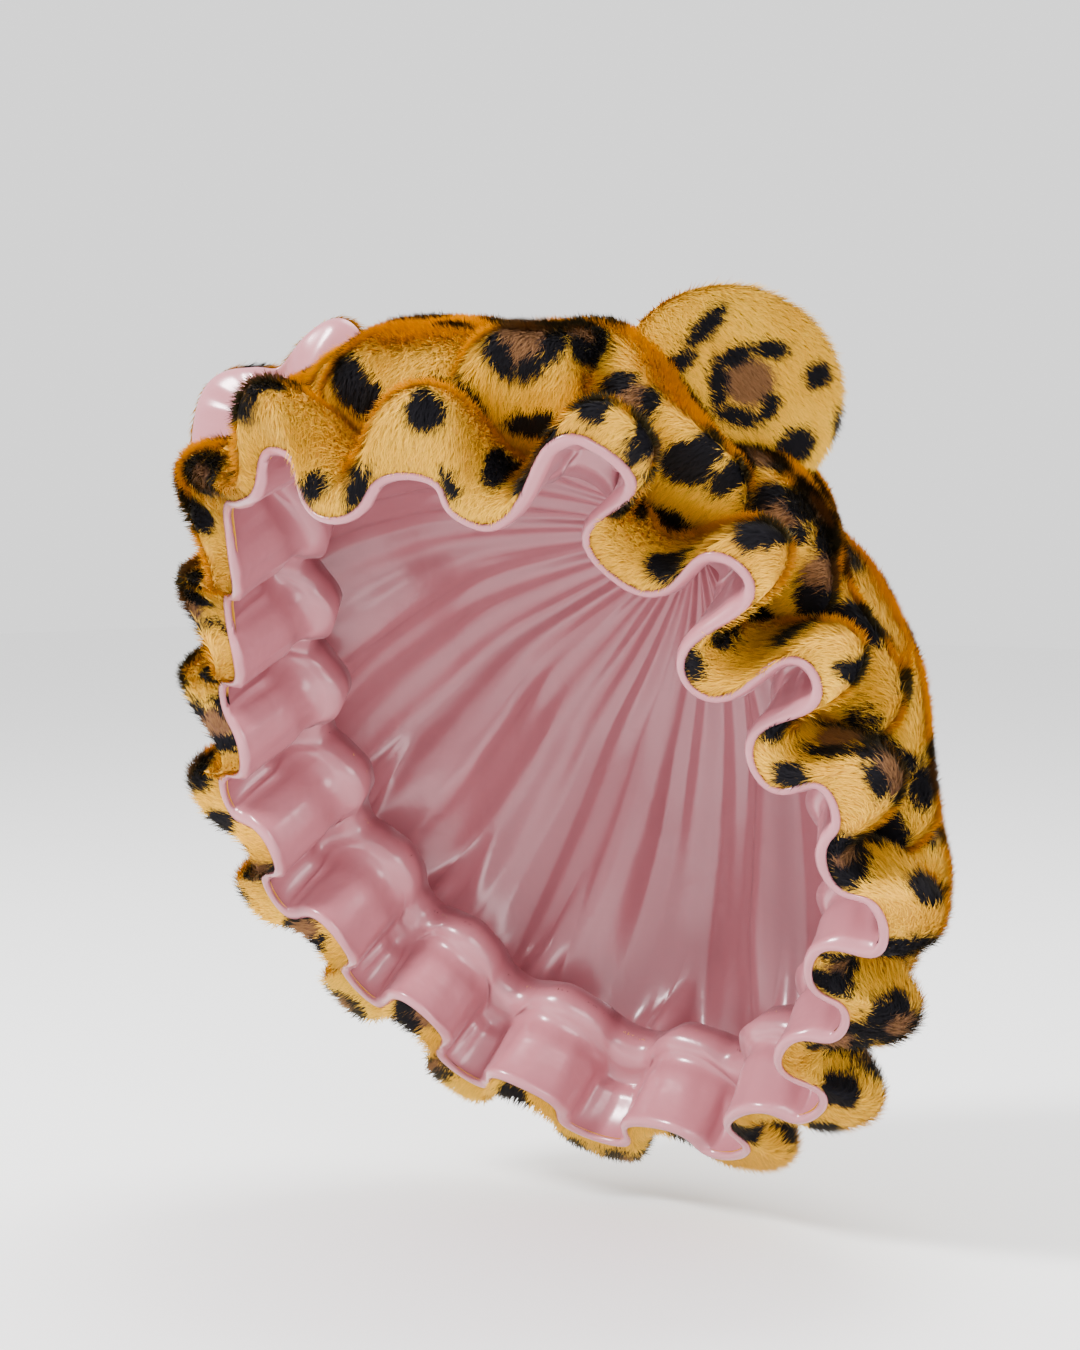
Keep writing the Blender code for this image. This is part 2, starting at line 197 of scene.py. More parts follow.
# The narrow puffs at the elastic merge into fewer, wider ones over these places of the crown
WIDE_PUFFS = 11
WIDE_PUFF_OFFSET = 0.35
WIDE_PUFF_GAIN = 1.05
WIDE_PUFF_ROUNDNESS = 0.9
MERGE_START, MERGE_LENGTH = 2.2, 2.2
CROWN_PLEAT = 1.3 * MM
CROWN_PLEAT_LENGTH = 1.6


class Ear(NamedTuple):
    """One round ear: its middle in mm, which way its face looks and how far it tips back in degrees,
    how deep the crease across its satin is in mm, and its outline.
    """

    name: str
    x: float
    y: float
    z: float
    face_turn: float
    tip_back: float
    plush_in_front: bool
    crease: float
    outline: tuple


# How far each ear reaches in mm, every 30 degrees clockwise from straight up as seen from the front
LEFT_OUTLINE = (31, 31, 32, 32, 31, 30, 29, 30, 33, 35, 34, 32)
RIGHT_OUTLINE = (19, 38, 35, 30, 30, 30, 30, 31, 33, 31, 29, 21)
EARS = (
    Ear("left", 73, -9, -23, 52, tip_back=4, plush_in_front=True, crease=0, outline=LEFT_OUTLINE),
    Ear("right", -83, -30, -29, 18, tip_back=4, plush_in_front=False, crease=6, outline=RIGHT_OUTLINE),
)
EAR_COLUMNS = 120
EAR_ROWS = 36
EAR_PLUSH_PAD = 7.0 * MM
EAR_SATIN_PAD = 5.0 * MM
EAR_CREASE_WIDTH = 6 * MM
EAR_WRINKLE = 0.35 * MM
EAR_WRINKLE_WAVES = (7, 11, 16, 23)


def unit(v):
    """Vectors scaled to length one, along the last axis."""
    return v / np.maximum(np.linalg.norm(v, axis=-1, keepdims=True), 1e-12)


def smooth_step(share):
    """A share from 0 to 1, eased at both ends."""
    return share * share * (3 - 2 * share)


def loop_knots():
    """Turns and places of the whole face loop, with enough laps that a spline can run over the ends."""
    left = [(p.turn, p.x, p.y, p.z) for p in FACE_LOOP]
    right = [(360 - t, -x, y, z) for t, x, y, z in reversed(left[1:-1])]
    lap = np.array(left + right, float)
    laps = np.concatenate([lap + [360 * k, 0, 0, 0] for k in range(-2, 4)])
    return laps[:, 0], laps[:, 1:] * MM


LOOP_TURNS, LOOP_PLACES = loop_knots()
BROW = np.array([FACE_LOOP[0].x, FACE_LOOP[0].y, FACE_LOOP[0].z]) * MM
NAPE = np.array([FACE_LOOP[-1].x, FACE_LOOP[-1].y, FACE_LOOP[-1].z]) * MM
CENTRE = (BROW + NAPE) / 2
UP = unit(BROW - NAPE)
SIDE = np.array([1.0, 0.0, 0.0])
BACK = np.array([0.0, UP[2], -UP[1]])


def hermite(low, high, low_slope, high_slope, share):
    """The cubic between two values with these slopes, at a share of the way."""
    s2, s3 = share**2, share**3
    return (
        low * (2 * s3 - 3 * s2 + 1)
        + low_slope * (s3 - 2 * s2 + share)
        + high * (3 * s2 - 2 * s3)
        + high_slope * (s3 - s2)
    )


def face_point(turn):
    """The face loop at these turns in degrees, as a smooth closed curve."""
    turn = np.asarray(turn, float)
    i = np.searchsorted(LOOP_TURNS, turn, side="right") - 1
    t0, t1, t2, t3 = (LOOP_TURNS[i + k][..., None] for k in (-1, 0, 1, 2))
    p0, p1, p2, p3 = (LOOP_PLACES[i + k] for k in (-1, 0, 1, 2))
    span = t2 - t1
    slope1 = (p2 - p0) * (span / (t2 - t0))
    slope2 = (p3 - p1) * (span / (t3 - t1))
    return hermite(p1, p2, slope1, slope2, (turn[..., None] - t1) / span)


def outward(turn):
    """The direction out of the cap's side, square to the face loop."""
    along = face_point(np.asarray(turn) + 1.0) - face_point(np.asarray(turn) - 1.0)
    away = unit(np.cross(along, BACK))
    sign = np.sign(np.sum(away * (face_point(turn) - CENTRE), axis=-1, keepdims=True))
    return away * sign


EXTREMES = np.array(
    [
        row
        for fold in FOLDS
        for row in (
            (fold.crest, fold.crest_out * MM, fold.crest_fore * MM),
            (fold.trough, fold.trough_out * MM, fold.trough_fore * MM),
        )
    ]
)


def fold_at(phase, curl):
    """Turn, out and fore of the edge at a phase, whole at each crest and half at each trough."""
    phase = np.asarray(phase, float)
    step = np.floor(phase * 2).astype(int)
    share = phase * 2 - step
    low = EXTREMES[step % len(EXTREMES)]
    high = EXTREMES[(step + 1) % len(EXTREMES)]
    turn0 = low[..., 0] + 360.0 * (step // len(EXTREMES))
    turn1 = high[..., 0] + 360.0 * ((step + 1) // len(EXTREMES))
    curl = curl * np.clip(np.abs(high[..., 1] - low[..., 1]) / CURL_FULL_AT, LEAST_CURL, MOST_CURL)
    curled = share + curl * np.sin(2 * np.pi * share) / (2 * np.pi)
    eased = (1 - np.cos(np.pi * share)) / 2
    out = low[..., 1] + (high[..., 1] - low[..., 1]) * eased
    fore = low[..., 2] + (high[..., 2] - low[..., 2]) * eased
    return turn0 + (turn1 - turn0) * curled, out, fore


def edge_point(phase):
    """The ruffle's free edge."""
    turn, out, fore = fold_at(phase, EDGE_CURL)
    return face_point(turn) + outward(turn) * out[..., None] - BACK * fore[..., None]


def gather_point(phase):
    """The outside of the cloth over the elastic."""
    turn = fold_at(phase, GATHER_CURL)[0]
    out = ELASTIC_OUT + GATHER_WAVE * np.cos(2 * np.pi * phase)
    return face_point(turn) + outward(turn) * out[..., None] + BACK * ELASTIC_BACK


def ripple(phase, seed, counts=(3, 4, 5, 7)):
    """A smooth random wave that closes on itself, about -1 to 1, with these waves to a fold in it."""
    rng = np.random.default_rng(seed)
    made = np.zeros_like(np.asarray(phase, float))
    for count in counts:
        waves = round(count * FOLD_COUNT + rng.integers(-3, 4))
        strength = rng.uniform(0.5, 1.0)
        made += strength * np.sin(2 * np.pi * waves * phase / FOLD_COUNT + rng.uniform(0, 6.28))
    return made / (0.6 * len(counts))


def ruffle_point(phase, share):
    """The outside of the ruffle, 0 at its free edge and 1 at the elastic, rounded like a roll of plush."""
    edge, gather = edge_point(phase), gather_point(phase)
    crest = (1 + np.cos(2 * np.pi * phase)) / 2
    turn = fold_at(phase, 0.0)[0]
    # The wearer's right side is rolled further forward
    far = np.clip(-np.sin(np.radians(turn)), 0, 1) ** FAR_SIDE_SPREAD
    pad = RUFFLE_PAD + CREST_PAD * crest + FAR_ROLL_OUT * far
    roll = pad * np.sin(np.pi * np.clip(share, 0, 1)) ** ROLL_ROUNDNESS
    pleat_share = np.clip(share - RUFFLE_PLEAT_START, 0, 1) ** 1.5
    pleat = RUFFLE_PLEAT * ripple(phase, 3) * pleat_share * RUFFLE_PLEAT_GAIN
    away = outward(turn)
    straight = edge + (gather - edge) * share[..., None]
    fore_roll = FORE_ROLL * (1 - crest) + FAR_ROLL_FORE * far
    forward = fore_roll * FORE_ROLL_PEAK * share * (1 - share) ** 2
    return straight + away * (roll + pleat)[..., None] - BACK * forward[..., None]


def spline(values, place):
    """A smooth curve through evenly numbered values, at a place between the first and the last."""
    values = np.asarray(values, float)
    last = len(values) - 1
    index = np.minimum(np.floor(place).astype(int), last - 1)
    at = [values[np.clip(index + k, 0, last)] for k in (-1, 0, 1, 2)]
    return hermite(at[1], at[2], (at[2] - at[0]) / 2, (at[3] - at[1]) / 2, place - index)


def ring_point(turn, height, width):
    """A rounded ring in the face plane, a little square-shouldered at the brow."""
    turn = np.radians(turn)
    rise, side = np.cos(turn), np.sin(turn)
    square = 2 + 0.15 * np.maximum(rise, 0)
    reach = (np.abs(rise) ** square + np.abs(side) ** square) ** (-1 / square)
    tall, wide = height * rise * reach, width * side * reach
    return CENTRE + UP * tall[..., None] + SIDE * wide[..., None]


PUFFS = np.array([fold.puff for fold in FOLDS]) * MM


def puff_at(phase, place):
    """The height of the crown's puffs: narrow ones at the elastic that merge into fewer, wider ones."""
    height = PUFFS[np.floor(phase).astype(int) % FOLD_COUNT]
    near = height * np.abs(np.sin(np.pi * phase)) ** PUFF_ROUNDNESS
    lap = np.concatenate([PUFFS, PUFFS, PUFFS])
    swell = np.interp(phase, np.arange(len(lap)) + 0.5 - FOLD_COUNT, lap)
    wave = np.abs(np.sin(np.pi * (phase * WIDE_PUFFS / FOLD_COUNT + WIDE_PUFF_OFFSET)))
    wide = WIDE_PUFF_GAIN * swell * wave**WIDE_PUFF_ROUNDNESS
    share = smooth_step(np.clip((place - MERGE_START) / MERGE_LENGTH, 0, 1))
    return near * (1 - share) + wide * share


def crown_point(phase, place):
    """The outside of the crown, place 0 at the elastic and then one for each section."""
    back, lift, height, width, puff, keep = (
        spline([getattr(section, name) for section in CROWN], place)
        for name in ("back", "lift", "half_height", "half_width", "puff", "keep")
    )
    keep = np.clip(keep, 0, 1)
    turn = fold_at(phase, 0.0)[0]
    curled = fold_at(phase, GATHER_CURL)[0]
    turn = turn + (curled - turn) * keep
    first = CROWN[0]
    bend = gather_point(phase) - ring_point(
        turn, np.full_like(turn, first.half_height * MM), np.full_like(turn, first.half_width * MM)
    )
    bend = bend - BACK * (first.back * MM)
    swell = np.clip(puff, 0, 1.2) * puff_at(phase, place)
    fading = np.exp(-((place / CROWN_PLEAT_LENGTH) ** 2))
    pleat = CROWN_PLEAT * ripple(phase, 5) * fading * np.clip(place * 3, 0, 1)
    ring = ring_point(turn, height * MM + swell + pleat, width * MM + swell + pleat)
    return ring + BACK * (back * MM)[..., None] + UP * (lift * MM)[..., None] + bend * keep[..., None]


class Sheet(NamedTuple):
    """A grid of cloth: places and normals by row and column, where each is on the flat cut, and its
    depth along the cloth from the ruffle's edge.
    """

    places: np.ndarray
    normals: np.ndarray
    flat: np.ndarray
    cloth: np.ndarray


def grid_normals(places):
    """Normals of a grid that closes on itself along its columns."""
    along = np.roll(places, -1, axis=1) - np.roll(places, 1, axis=1)
    down = np.gradient(places, axis=0)
    return unit(np.cross(along, down))


def outside_sheet():
    """The plush's outer face from the free edge to the crown's middle."""
    columns = COLUMNS_PER_FOLD * FOLD_COUNT
    phase = np.arange(columns) / COLUMNS_PER_FOLD
    shares = np.linspace(0, 1, RUFFLE_ROWS)
    crown = np.linspace(0, 1, CROWN_ROWS + 1)[1:] * (len(CROWN) - 1)
    rows, cloth = [], []
    for share in shares:
        rows.append(ruffle_point(phase, np.full_like(phase, share)))
        cloth.append(share * CROWN[0].cloth * MM)
    for place in crown:
        rows.append(crown_point(phase, np.full_like(phase, place)))
        cloth.append(float(spline([s.cloth for s in CROWN], np.array([place]))[0]) * MM)
    places = np.array(rows)
    normals = grid_normals(places)
    outside = np.sum(normals * (places - CENTRE), axis=-1).mean() > 0
    normals = normals if outside else -normals
    cloth = np.array(cloth)
    turn = 2 * np.pi * phase / FOLD_COUNT
    radius = FLAT_RADIUS - cloth
    flat = np.stack([radius[:, None] * np.sin(turn), radius[:, None] * np.cos(turn)], axis=-1)
    return Sheet(places, normals, flat, np.repeat(cloth[:, None], columns, axis=1))


def grid_faces(rows, columns):
    """Quads of a grid that closes on itself along its columns."""
    r, c = np.meshgrid(np.arange(rows - 1), np.arange(columns), indexing="ij")
    after = (c + 1) % columns
    this, below = r * columns, (r + 1) * columns
    return np.stack([this + c, this + after, below + after, below + c], -1).reshape(-1, 4)


def mesh_object(name, places, faces, material, attributes=(), normals=None):
    """A mesh from arrays, with float attributes as (name, values) pairs."""
    data = bpy.data.meshes.new(name)
    places = np.ascontiguousarray(places.reshape(-1, 3), dtype=np.float32)
    count, corners = faces.shape
    data.vertices.add(len(places))
    data.vertices.foreach_set("co", places.ravel())
    data.loops.add(count * corners)
    data.loops.foreach_set("vertex_index", np.ascontiguousarray(faces, dtype=np.int32).ravel())
    data.polygons.add(count)
    data.polygons.foreach_set("loop_start", np.arange(0, count * corners, corners, dtype=np.int32))
    data.update(calc_edges=True)
    data.validate()
    data.shade_smooth()
    for label, values in attributes:
        layer = data.attributes.new(label, "FLOAT", "POINT")
        layer.data.foreach_set("value", np.ascontiguousarray(values, dtype=np.float32).ravel())
    if normals is not None:
        data.normals_split_custom_set_from_vertices(normals.reshape(-1, 3).astype(np.float32))
    data.materials.append(material)
    made = bpy.data.objects.new(name, data)
    bpy.context.scene.collection.objects.link(made)
    return made


class Spot(NamedTuple):
    """One spot of the print: its kind, the fold it is on and how deep behind the ruffle's edge in mm,
    its half sizes along and across the edge in mm, and its tilt in degrees.
    """

    kind: str
    fold: float
    depth: float
    wide: float
    tall: float
    tilt: float


SPOTS = (
    Spot(kind="rosette", fold=1.42, depth=68, wide=10, tall=11, tilt=0),
    Spot(kind="rosette", fold=1.8, depth=82, wide=8, tall=7, tilt=20),
    Spot(kind="rosette", fold=2.15, depth=62, wide=8, tall=7, tilt=30),
    Spot(kind="dark", fold=2.5, depth=53, wide=8, tall=7, tilt=40),
    Spot(kind="dark", fold=2.78, depth=58, wide=4, tall=7, tilt=0),
    Spot(kind="rosette", fold=3.2, depth=60, wide=9, tall=8, tilt=10),
    Spot(kind="rosette", fold=3.6, depth=92, wide=10, tall=9, tilt=0),
    Spot(kind="taupe", fold=3.8, depth=62, wide=7, tall=6, tilt=0),
    Spot(kind="dark", fold=3.7, depth=76, wide=5, tall=6, tilt=0),
    Spot(kind="dark", fold=3.92, depth=50, wide=10, tall=5, tilt=20),
    Spot(kind="dark", fold=4.25, depth=64, wide=8, tall=7, tilt=0),
    Spot(kind="dark", fold=2.3, depth=12, wide=6, tall=5, tilt=0),
    Spot(kind="dark", fold=2.38, depth=26, wide=5, tall=4, tilt=60),
    Spot(kind="dark", fold=2.62, depth=13, wide=7, tall=5, tilt=0),
    Spot(kind="dark", fold=2.95, depth=13, wide=9, tall=6, tilt=40),
    Spot(kind="rosette", fold=3.36, depth=16, wide=8, tall=7, tilt=30),
    Spot(kind="dark", fold=3.45, depth=3, wide=6, tall=3, tilt=0),
    Spot(kind="dark", fold=3.75, depth=22, wide=6, tall=6, tilt=0),
    Spot(kind="dark", fold=4.1, depth=14, wide=5, tall=8, tilt=0),
    Spot(kind="dark", fold=4.35, depth=4, wide=6, tall=3, tilt=0),
    Spot(kind="rosette", fold=4.75, depth=25, wide=9, tall=9, tilt=0),
    Spot(kind="dark", fold=4.6, depth=7, wide=5, tall=4, tilt=0),
    Spot(kind="dark", fold=4.5, depth=82, wide=5, tall=9, tilt=0),
    Spot(kind="dark", fold=4.9, depth=72, wide=8, tall=5, tilt=30),
    Spot(kind="dark", fold=5.1, depth=48, wide=9, tall=5, tilt=0),
    Spot(kind="rosette", fold=5.5, depth=12, wide=8, tall=9, tilt=0),
    Spot(kind="dark", fold=5.75, depth=32, wide=9, tall=8, tilt=0),
    Spot(kind="dark", fold=6.1, depth=38, wide=11, tall=5, tilt=0),
    Spot(kind="dark", fold=6.2, depth=8, wide=10, tall=6, tilt=0),
    Spot(kind="rosette", fold=6.5, depth=10, wide=7, tall=6, tilt=0),
    Spot(kind="dark", fold=6.6, depth=38, wide=8, tall=3, tilt=20),
    Spot(kind="dark", fold=0.3, depth=52, wide=11, tall=6, tilt=-30),
    Spot(kind="rosette", fold=17.95, depth=22, wide=10, tall=9, tilt=0),
    Spot(kind="dark", fold=0.9, depth=47, wide=5, tall=4, tilt=0),
    Spot(kind="dark", fold=1.1, depth=42, wide=4, tall=8, tilt=30),
    Spot(kind="dark", fold=0.7, depth=85, wide=5, tall=4, tilt=0),
    Spot(kind="dark", fold=1.45, depth=22, wide=5, tall=8, tilt=0),
    Spot(kind="dark", fold=1.55, depth=43, wide=9, tall=5, tilt=20),
    Spot(kind="dark", fold=0.42, depth=8, wide=4, tall=5, tilt=0),
    Spot(kind="dark", fold=0.7, depth=2, wide=8, tall=3, tilt=0),
    Spot(kind="dark", fold=1.25, depth=2, wide=5, tall=3, tilt=0),
    Spot(kind="dark", fold=16.9, depth=5, wide=8, tall=6, tilt=0),
    Spot(kind="taupe", fold=16.95, depth=14, wide=6, tall=5, tilt=0),
    Spot(kind="dark", fold=16.5, depth=20, wide=4, tall=8, tilt=0),
    Spot(kind="dark", fold=16.2, depth=8, wide=5, tall=4, tilt=0),
    Spot(kind="taupe", fold=16.1, depth=14, wide=6, tall=5, tilt=0),
    Spot(kind="rosette", fold=15.9, depth=10, wide=8, tall=8, tilt=0),
    Spot(kind="dark", fold=15.0, depth=12, wide=9, tall=6, tilt=0),
    Spot(kind="rosette", fold=14.1, depth=10, wide=8, tall=7, tilt=0),
    Spot(kind="dark", fold=13.0, depth=10, wide=7, tall=6, tilt=0),
)
# The spots between the charted ones
SPOT_SPACING = 19.0 * MM
RANDOM_SPOTS = 420
RANDOM_TRIES = 9000
RANDOM_KINDS = ("rosette", "rosette", "rosette", "dark", "dark")
# Smallest and largest half sizes along and across the edge in mm
RANDOM_SIZES = {"rosette": ((7.0, 10.0), (6.5, 9.0)), "dark": ((5.0, 8.5), (3.6, 6.0))}
# Columns wider than this are always open to a spot, narrower ones in proportion
WIDE_COLUMN = 2.4 * MM
# How far a rosette's dark pieces lie out, as a share of its half size, and how much of it they go round
RING_REACH = 0.86
RING_SHARE = 0.88
OFF_PRINT = -20.0

# Both ears' plush faces: a ring with a taupe middle and loose spots round it, x and y in mm
EAR_DARK = (
    # x, y, half length, half width, tilt in degrees
    (-11, 19, 9, 3, 45),
    (-19, 9, 6, 3, 35),
    (-8, 3, 3, 8, 0),
    (-3, 11, 8, 3, 20),
    (-2, -6, 8, 3, -10),
    (7, -3, 3, 5, -30),
    (8, 13, 6, 3, 0),
    (22, 6, 5, 4, 40),
    (15, -14, 7, 5, 30),
    (30, -8, 3, 6, 0),
    (-10, -16, 6, 4, 20),
    (-24, -6, 4, 5, 0),
)
EAR_TAUPE = (
    (1, 4, 8, 7, 0),
    (9, -20, 7, 4, 20),
    (-17, -13, 5, 4, 0),
)


def ring_pieces(rng, wide, tall):
    """The dark pieces round a rosette, as (x, y, half length, half width, tilt) about its middle."""
    count = int(rng.integers(3, 6))
    start = rng.uniform(0, 2 * math.pi)
    found = []
    for k in range(count):
        angle = start + 2 * math.pi * RING_SHARE * k / count + rng.uniform(-0.15, 0.15)
        arc = math.hypot(wide * math.sin(angle), tall * math.cos(angle)) * math.pi * RING_SHARE / count
        along = math.atan2(tall * math.cos(angle), -wide * math.sin(angle))
        place = (RING_REACH * wide * math.cos(angle), RING_REACH * tall * math.sin(angle))
        found.append((*place, arc * rng.uniform(0.95, 1.3), rng.uniform(2.8, 4.0), along))
    return found


def inside_blob(x, y, blob):
    """How far inside an oval blob these places are, in mm: positive inside, negative outside."""
    middle_x, middle_y, wide, tall, tilt = blob
    x, y = x - middle_x, y - middle_y
    along = x * math.cos(tilt) + y * math.sin(tilt)
    across = y * math.cos(tilt) - x * math.sin(tilt)
    return (1 - np.sqrt((along / wide) ** 2 + (across / tall) ** 2)) * min(wide, tall)


def spot_blobs(rng, spot):
    """The dark and the taupe blobs of a spot about its middle, in mm."""
    if spot.kind == "rosette":
        return ring_pieces(rng, spot.wide, spot.tall), [(0, 0, spot.wide * 0.85, spot.tall * 0.85, 0)]
    blob = (0, 0, spot.wide, spot.tall, 0)
    notch = (spot.wide * 0.5, spot.tall * 0.35, spot.wide * 0.6, spot.tall * 0.8, rng.uniform(0, 3))
    return ([blob, notch], []) if spot.kind == "dark" else ([], [blob])


def random_spots(rng, sheet, taken):
    """Spots for the rest of the cap, evenly spaced on the worn cloth: (row, column, spot)."""
    rows, columns = sheet.places.shape[:2]
    found, places = [], [sheet.places[row, column] for row, column, _ in taken]
    for _ in range(RANDOM_TRIES):
        row = int(rng.integers(0, rows - 6))
        column = int(rng.integers(0, columns))
        place = sheet.places[row, column]
        spacing = np.linalg.norm(place - sheet.places[row, (column + 1) % columns])
        if rng.random() > spacing / WIDE_COLUMN or len(found) == RANDOM_SPOTS:
            continue
        if np.min(np.linalg.norm(np.array(places) - place, axis=1)) < SPOT_SPACING:
            continue
        kind = RANDOM_KINDS[int(rng.integers(0, len(RANDOM_KINDS)))]
        wide, tall = (rng.uniform(*limits) for limits in RANDOM_SIZES[kind])
        found.append((row, column, Spot(kind, 0, 0, wide, tall, rng.uniform(0, 180))))
        places.append(place)
    return found


def print_fields(sheet):
    """The dark and taupe fields over the cap in mm, each spot laid on the worn cloth about its middle.

    A field is positive inside a spot and negative outside it.
    """
    rng = np.random.default_rng(17)
    columns = sheet.places.shape[1]
    taken = []
    for spot in SPOTS:
        row = int(np.argmin(np.abs(sheet.cloth[:, 0] - spot.depth * MM)))
        taken.append((row, round(spot.fold * COLUMNS_PER_FOLD) % columns, spot))
    places = sheet.places.reshape(-1, 3)
    flat = sheet.flat.reshape(-1, 2)
    dark = np.full(len(places), OFF_PRINT)
    taupe = np.full(len(places), OFF_PRINT)
    for row, column, spot in taken + random_spots(rng, sheet, taken):
        middle = sheet.places[row, column]
        after = sheet.places[row, (column + 1) % columns]
        along = unit(after - sheet.places[row, column - 1])
        normal = sheet.normals[row, column]
        inward = unit(np.cross(normal, along))
        inward *= np.sign(np.sum(inward * (sheet.places[row + 1, column] - middle)))
        reach = (max(spot.wide, spot.tall) + 8) * MM
        gone = places - middle
        distance = np.linalg.norm(gone, axis=1)
        spread = np.linalg.norm(flat - sheet.flat[row, column], axis=1)
        near = np.nonzero((distance < reach) & (spread < 3 * reach))[0]
        x, y = gone[near] @ along, gone[near] @ inward
        scale = distance[near] / np.maximum(np.hypot(x, y), 1e-9) / MM
        tilt = math.radians(spot.tilt)
        u = (x * math.cos(tilt) + y * math.sin(tilt)) * scale
        v = (y * math.cos(tilt) - x * math.sin(tilt)) * scale
        dark_blobs, taupe_blobs = spot_blobs(rng, spot)
        for blob in dark_blobs:
            dark[near] = np.maximum(dark[near], inside_blob(u, v, blob))
        for blob in taupe_blobs:
            taupe[near] = np.maximum(taupe[near], inside_blob(u, v, blob))
    return dark, taupe


def ear_fields(flat):
    """The dark and taupe fields over an ear's face in mm."""
    x, y = flat[..., 0].ravel() / MM, flat[..., 1].ravel() / MM
    return tuple(
        np.max([inside_blob(x, y, (*blob[:4], math.radians(blob[4]))) for blob in blobs], axis=0)
        for blobs in (EAR_DARK, EAR_TAUPE)
    )


def node(tree, kind, **values):
    """A new node of this kind with these settings."""
    made = tree.nodes.new(kind)
    for name, value in values.items():
        setattr(made, name, value)
    return made


def set_inputs(made, values):
    """Sets a node's inputs by their names."""
    for label, value in values.items():
        made.inputs[label].default_value = value


def leopard_print_group():
    """The leopard print as one node group: ground, taupe and near-black from the print fields.

    Both plush materials use it, each with its own painted shade (for the pile, also a random tone per
    blade) multiplied over the print.
    """
    group = bpy.data.node_groups.new("leopard_print", "ShaderNodeTree")
    sockets = (
        ("Place", "NodeSocketVector"),
        ("Taupe Field", "NodeSocketFloat"),
        ("Dark Field", "NodeSocketFloat"),
        ("Shade", "NodeSocketColor"),
    )
    for label, kind in sockets:
        group.interface.new_socket(name=label, in_out="INPUT", socket_type=kind)
    group.interface.new_socket(name="Colour", in_out="OUTPUT", socket_type="NodeSocketColor")
    given = node(group, "NodeGroupInput")
    result = node(group, "NodeGroupOutput")

    cloud = node(group, "ShaderNodeTexNoise")
    set_inputs(cloud, {"Scale": 38.0, "Detail": 3.0})
    group.links.new(given.outputs["Place"], cloud.inputs["Vector"])
    fine = node(group, "ShaderNodeTexNoise")
    set_inputs(fine, {"Scale": 420.0, "Detail": 2.0})
    group.links.new(given.outputs["Place"], fine.inputs["Vector"])
    ground = node(group, "ShaderNodeValToRGB")
    ground.color_ramp.elements[0].position = 0.3
    ground.color_ramp.elements[0].color = (0.86, 0.46, 0.065, 1)
    ground.color_ramp.elements[1].position = 0.72
    ground.color_ramp.elements[1].color = (1.0, 0.61, 0.095, 1)
    group.links.new(cloud.outputs["Fac"], ground.inputs["Fac"])
    rough = node(group, "ShaderNodeMath", operation="MULTIPLY_ADD")
    group.links.new(fine.outputs["Fac"], rough.inputs[0])
    rough.inputs[1].default_value = 2.4
    rough.inputs[2].default_value = -1.2

    def masked(field, low, high, below, colour):
        """Mixes a print colour in where its field, roughened a little, is positive."""
        total = node(group, "ShaderNodeMath", operation="ADD")
        group.links.new(given.outputs[field], total.inputs[0])
        group.links.new(rough.outputs[0], total.inputs[1])
        share = node(group, "ShaderNodeMapRange")
        set_inputs(share, {"From Min": low, "From Max": high})
        group.links.new(total.outputs[0], share.inputs["Value"])
        mix = node(group, "ShaderNodeMix", data_type="RGBA")
        group.links.new(share.outputs["Result"], mix.inputs["Factor"])
        group.links.new(below, mix.inputs["A"])
        mix.inputs["B"].default_value = colour
        return mix.outputs["Result"]

    colour = masked("Taupe Field", -0.9, 0.9, ground.outputs["Color"], (0.27, 0.135, 0.062, 1))
    colour = masked("Dark Field", -0.5, 0.6, colour, (0.010, 0.009, 0.014, 1))
    shade = node(group, "ShaderNodeMix", data_type="RGBA", blend_type="MULTIPLY")
    shade.inputs["Factor"].default_value = 1.0
    group.links.new(colour, shade.inputs["A"])
    group.links.new(given.outputs["Shade"], shade.inputs["B"])
    group.links.new(shade.outputs["Result"], result.inputs["Colour"])
    return group


def plush_material(name, is_pile, print_group):
    """Golden leopard plush: the print, with painted shade at the roots of the pile and on the backing."""
    made = bpy.data.materials.new(name)
    made.use_nodes = True
    tree = made.node_tree
    shader = tree.nodes["Principled BSDF"]
    set_inputs(
        shader,
        {
            "Roughness": 0.75,
            "Specular IOR Level": 0.25,
            "Sheen Weight": 0.15,
            "Sheen Roughness": 0.45,
            "Sheen Tint": (1.0, 0.80, 0.35, 1),
        },
    )

    def attribute(label):
        """The value of one of the mesh's own attributes."""
        made = node(tree, "ShaderNodeAttribute", attribute_name=label, attribute_type="GEOMETRY")
        return made.outputs["Fac"]

    coords = node(tree, "ShaderNodeTexCoord")
    leopard = node(tree, "ShaderNodeGroup", node_tree=print_group)
    tree.links.new(coords.outputs["Object"], leopard.inputs["Place"])
    tree.links.new(attribute("taupe"), leopard.inputs["Taupe Field"])
    tree.links.new(attribute("dark"), leopard.inputs["Dark Field"])
    if is_pile:
        # Painted shade: the pile is darker at its roots and lighter at its tips, with a random tone per
        # blade on top
        tone_and_root_shade = node(tree, "ShaderNodeMapRange")
        set_inputs(tone_and_root_shade, {"To Min": 0.6, "To Max": 1.15})
        tree.links.new(attribute("tone_and_root_shade"), tone_and_root_shade.inputs["Value"])
        grey = node(tree, "ShaderNodeCombineColor")
        for channel in ("Red", "Green", "Blue"):
            tree.links.new(tone_and_root_shade.outputs["Result"], grey.inputs[channel])
        tree.links.new(grey.outputs["Color"], leopard.inputs["Shade"])
    else:
        # Painted shade: the backing under the pile is darkened and cooled, as if in the shade of the
        # blades
        leopard.inputs["Shade"].default_value = (0.74, 0.72, 0.9, 1)
    tree.links.new(leopard.outputs["Colour"], shader.inputs["Base Color"])
    return made


